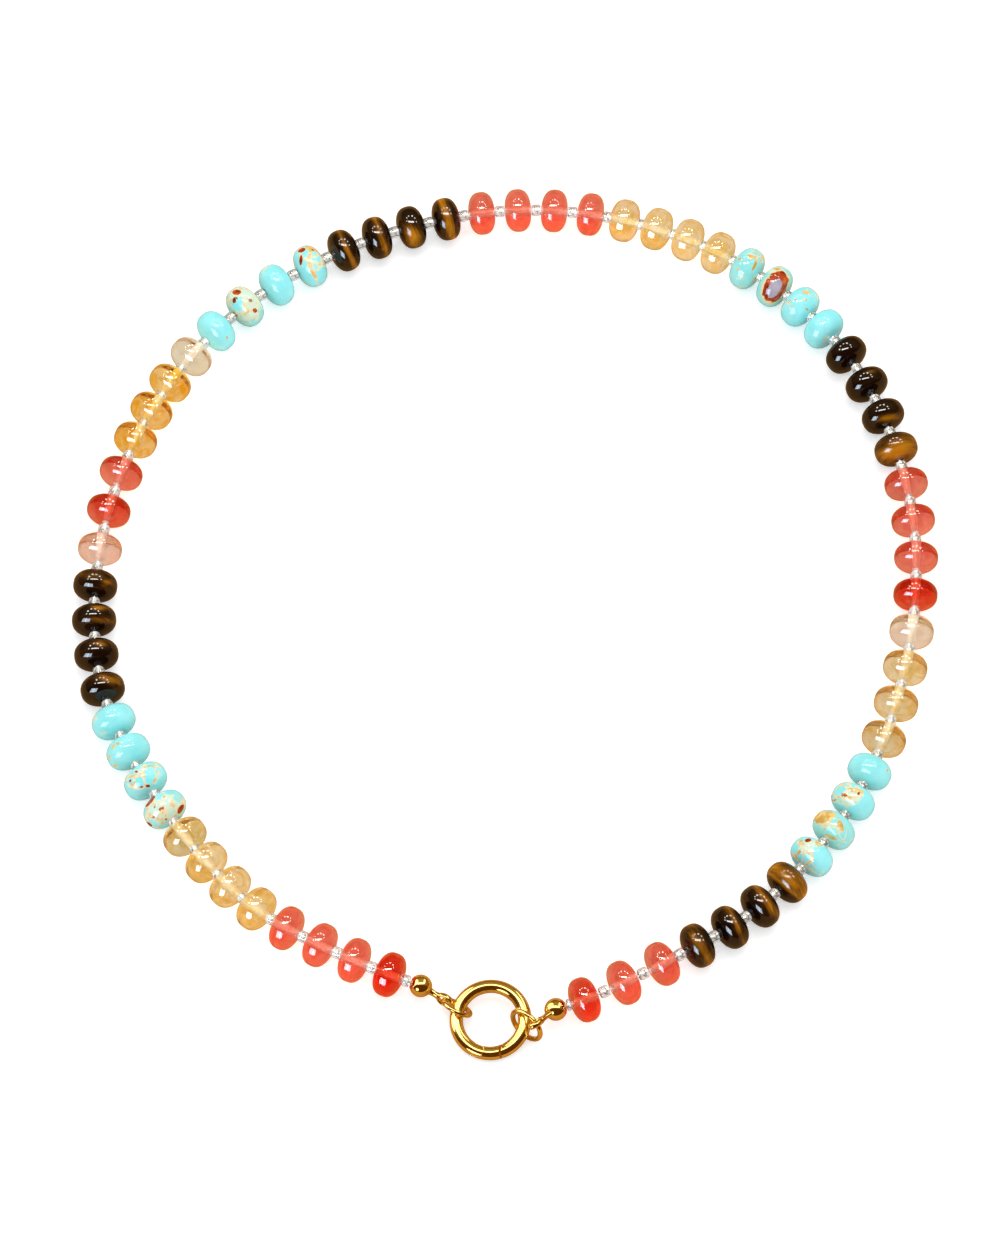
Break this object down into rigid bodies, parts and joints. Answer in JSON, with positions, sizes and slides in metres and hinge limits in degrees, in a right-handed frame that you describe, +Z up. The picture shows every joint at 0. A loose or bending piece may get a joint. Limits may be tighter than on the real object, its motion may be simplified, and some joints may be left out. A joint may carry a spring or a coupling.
{
  "type": "gemstone link necklace",
  "caption": "Strand of round gemstone beads on thread with small glass spacers, closed by a sprung gold ring clasp, lying as an open loop.",
  "frame": {"origin": "middle of the whole necklace's outline, on the surface that it lies on", "axes": "+Z up from the surface; -Y towards the clasp and +Y across the loop to its far side; +X to the right, seen from above with the clasp nearest"},
  "size_m": [0.1566, 0.1744, 0.008],
  "materials": {
    "red_stone": "polished, translucent orange red",
    "citrine": "polished, clear pale straw yellow",
    "turquoise": "polished opaque stone, pale blue green with tan veins and red brown specks",
    "tigers_eye": "polished opaque stone, dark brown with golden bands",
    "thread_and_glass": "clear grey glass beads on fine pale thread",
    "gold": "polished yellow gold"
  },
  "bodies": {
    "necklace": {"red_bead_1": "red_stone", "red_bead_2": "red_stone", "red_bead_3": "red_stone", "red_bead_4": "red_stone", "red_bead_5": "red_stone", "red_bead_6": "red_stone", "red_bead_7": "red_stone", "red_bead_8": "red_stone", "red_bead_9": "red_stone", "red_bead_10": "red_stone", "red_bead_11": "red_stone", "red_bead_12": "red_stone", "red_bead_13": "red_stone", "red_bead_14": "red_stone", "red_bead_15": "red_stone", "red_bead_16": "red_stone", "red_bead_17": "red_stone", "red_bead_18": "red_stone", "citrine_bead_1": "citrine", "citrine_bead_2": "citrine", "citrine_bead_3": "citrine", "citrine_bead_4": "citrine", "citrine_bead_5": "citrine", "citrine_bead_6": "citrine", "citrine_bead_7": "citrine", "citrine_bead_8": "citrine", "citrine_bead_9": "citrine", "citrine_bead_10": "citrine", "citrine_bead_11": "citrine", "citrine_bead_12": "citrine", "citrine_bead_13": "citrine", "citrine_bead_14": "citrine", "citrine_bead_15": "citrine", "citrine_bead_16": "citrine", "turquoise_run_1": "turquoise", "turquoise_run_2": "turquoise", "turquoise_run_3": "turquoise", "turquoise_run_4": "turquoise", "tigers_eye_run_1": "tigers_eye", "tigers_eye_run_2": "tigers_eye", "tigers_eye_run_3": "tigers_eye", "tigers_eye_run_4": "tigers_eye", "red_thread_1": "thread_and_glass", "red_thread_2": "thread_and_glass", "red_thread_3": "thread_and_glass", "red_thread_4": "thread_and_glass", "red_thread_5": "thread_and_glass", "citrine_thread_1": "thread_and_glass", "citrine_thread_2": "thread_and_glass", "citrine_thread_3": "thread_and_glass", "citrine_thread_4": "thread_and_glass", "clasp_ring": "gold", "jump_ring_left": "gold", "jump_ring_right": "gold", "bead_tip_left": "gold", "bead_tip_right": "gold"},
    "gate": {"clasp_gate": "gold"}
  },
  "joints": [
    {"name": "gate_hinge", "type": "hinge", "parent": "necklace", "child": "gate", "pos_m": [-0.00518, -0.08558, 0.00118], "axis": [-0.0785, -0.1731, 0.9818], "range_deg": [0, 40], "stiffness_Nm_per_rad": 0.002, "springref_deg": -5.73}
  ]
}
